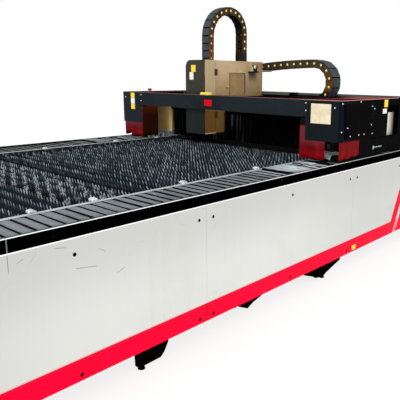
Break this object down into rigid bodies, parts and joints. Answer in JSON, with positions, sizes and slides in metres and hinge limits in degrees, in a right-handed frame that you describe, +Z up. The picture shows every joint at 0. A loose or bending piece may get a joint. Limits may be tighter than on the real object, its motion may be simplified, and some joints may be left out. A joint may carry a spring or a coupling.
{
  "type": "laser cutting machine",
  "caption": "Open-bed laser cutting machine for flat sheet, with saw-toothed slats, a gantry on covered rails and a head that crosses it and lifts.",
  "frame": {"origin": "on the floor, under the middle of the machine's outer box", "axes": "+X along the bed from the drawer end to the tail, +Y across it from the near side to the far side, +Z up"},
  "size_m": [4.69, 2.53, 2.0359],
  "materials": {
    "white_paint": "satin powder coat",
    "red_paint": "gloss paint",
    "black_paint": "fine-textured powder coat",
    "grey_paint": "satin paint",
    "beige_paint": "satin powder coat",
    "bright_steel": "ground",
    "slat_steel": "hot-rolled, sooty",
    "cover_fabric": "coated, pleated",
    "red_rubber": "matt",
    "black_rubber": "matt",
    "yellow_rubber": "matt",
    "white_plastic": "matt",
    "red_plastic": "gloss",
    "black_plastic": "matt",
    "chain_plastic": "matt",
    "aluminium": "anodised",
    "brass": "turned"
  },
  "bodies": {
    "bed": {"lower_side_tubes": "grey_paint", "lower_cross_tubes": "grey_paint", "frame_posts": "grey_paint", "rail_beams": "grey_paint", "foot_brackets": "black_paint", "levelling_feet": "black_paint", "near_side_panels": "white_paint", "far_side_panels": "white_paint", "red_panels": "red_paint", "end_panels": "white_paint", "edge_strips": "black_paint", "inner_guards": "bright_steel", "edge_buffers": "white_plastic", "slat_rests": "grey_paint", "slats": "slat_steel", "rear_deck": "grey_paint", "guide_rails": "bright_steel", "racks": "bright_steel", "near_front_bellows": "cover_fabric", "near_rear_bellows": "cover_fabric", "far_front_bellows": "cover_fabric", "far_rear_bellows": "cover_fabric"},
    "near_drawer": {"near_scrap_drawer": "grey_paint"},
    "far_drawer": {"far_scrap_drawer": "grey_paint"},
    "gantry": {"gantry_beam": "black_paint", "trucks": "beige_paint", "guide_blocks": "bright_steel", "front_bar": "black_paint", "rear_cover": "black_paint", "near_housing": "black_paint", "far_housing": "black_paint", "side_covers": "black_paint", "top_covers": "red_paint", "skirts": "red_rubber", "spark_curtain": "black_rubber", "chain_trough": "black_paint", "cross_rails": "bright_steel", "drive_motors": "black_paint", "stop_base": "black_plastic", "bar_buffer": "yellow_rubber"},
    "near_pinion": {"near_drive_pinion": "bright_steel"},
    "far_pinion": {"far_drive_pinion": "bright_steel"},
    "stop": {"stop_button": "red_plastic"},
    "carriage": {"carriage_plate": "aluminium", "cross_blocks": "bright_steel", "lift_rails": "bright_steel", "cross_motor": "black_paint", "lift_motor": "black_paint", "head_box": "beige_paint", "head_front_cover": "black_paint", "chain_brackets": "black_paint", "cross_chain_run": "chain_plastic", "arch_chain": "chain_plastic"},
    "cross_gear": {"cross_pinion": "bright_steel"},
    "screw": {"lift_screw": "bright_steel"},
    "hatch": {"hatch_door": "beige_paint"},
    "lift": {"lift_plate": "aluminium", "cutting_head": "aluminium", "nozzle": "brass"},
    "chain_loop": {"cross_chain_loop": "chain_plastic"}
  },
  "joints": [
    {"name": "gantry_travel", "type": "slide", "parent": "bed", "child": "gantry", "axis": [1, 0, 0], "range_m": [-2.8, 0], "deforming": ["near_front_bellows", "near_rear_bellows", "far_front_bellows", "far_rear_bellows"]},
    {"name": "head_travel", "type": "slide", "parent": "gantry", "child": "carriage", "axis": [0, 1, 0], "range_m": [-0.93, 0.48]},
    {"name": "head_lift", "type": "slide", "parent": "carriage", "child": "lift", "axis": [0, 0, 1], "range_m": [-0.1, 0], "deforming": ["arch_chain"]},
    {"name": "chain_roll", "type": "slide", "parent": "carriage", "child": "chain_loop", "axis": [0, 1, 0], "range_m": [-0.24, 0.465], "deforming": ["cross_chain_run"]},
    {"name": "near_pinion_spin", "type": "hinge", "parent": "gantry", "child": "near_pinion", "pos_m": [1.43, -1.01, 0.72], "axis": [0, 0, 1], "range_deg": [0, 5350]},
    {"name": "far_pinion_spin", "type": "hinge", "parent": "gantry", "child": "far_pinion", "pos_m": [1.43, 1.01, 0.72], "axis": [0, 0, 1], "range_deg": [-5350, 0]},
    {"name": "cross_pinion_spin", "type": "hinge", "parent": "carriage", "child": "cross_gear", "pos_m": [1.01, 0.295, 1.2], "axis": [0, 0, 1], "range_deg": [-1778, 919]},
    {"name": "lift_screw_spin", "type": "hinge", "parent": "carriage", "child": "screw", "pos_m": [0.866, 0.295, 1.1], "axis": [0, 0, 1], "range_deg": [-3602, 0]},
    {"name": "stop_press", "type": "slide", "parent": "gantry", "child": "stop", "axis": [0, 0, -1], "range_m": [0, 0.005], "stiffness_N_per_m": 2000},
    {"name": "hatch_swing", "type": "hinge", "parent": "carriage", "child": "hatch", "pos_m": [1.186, 0.178, 1.348], "axis": [0, 0, 1], "range_deg": [0, 110]},
    {"name": "near_drawer_pull", "type": "slide", "parent": "bed", "child": "near_drawer", "axis": [-1, 0, 0], "range_m": [0, 0.6]},
    {"name": "far_drawer_pull", "type": "slide", "parent": "bed", "child": "far_drawer", "axis": [-1, 0, 0], "range_m": [0, 0.6]}
  ],
  "couplings": [
    {"joint": "chain_roll", "follows": "head_travel", "ratio": -0.5},
    {"joint": "near_pinion_spin", "follows": "gantry_travel", "rad_per_m": -33.333},
    {"joint": "far_pinion_spin", "follows": "gantry_travel", "rad_per_m": 33.333},
    {"joint": "cross_pinion_spin", "follows": "head_travel", "rad_per_m": 33.333},
    {"joint": "lift_screw_spin", "follows": "head_lift", "rad_per_m": 628.32}
  ]
}
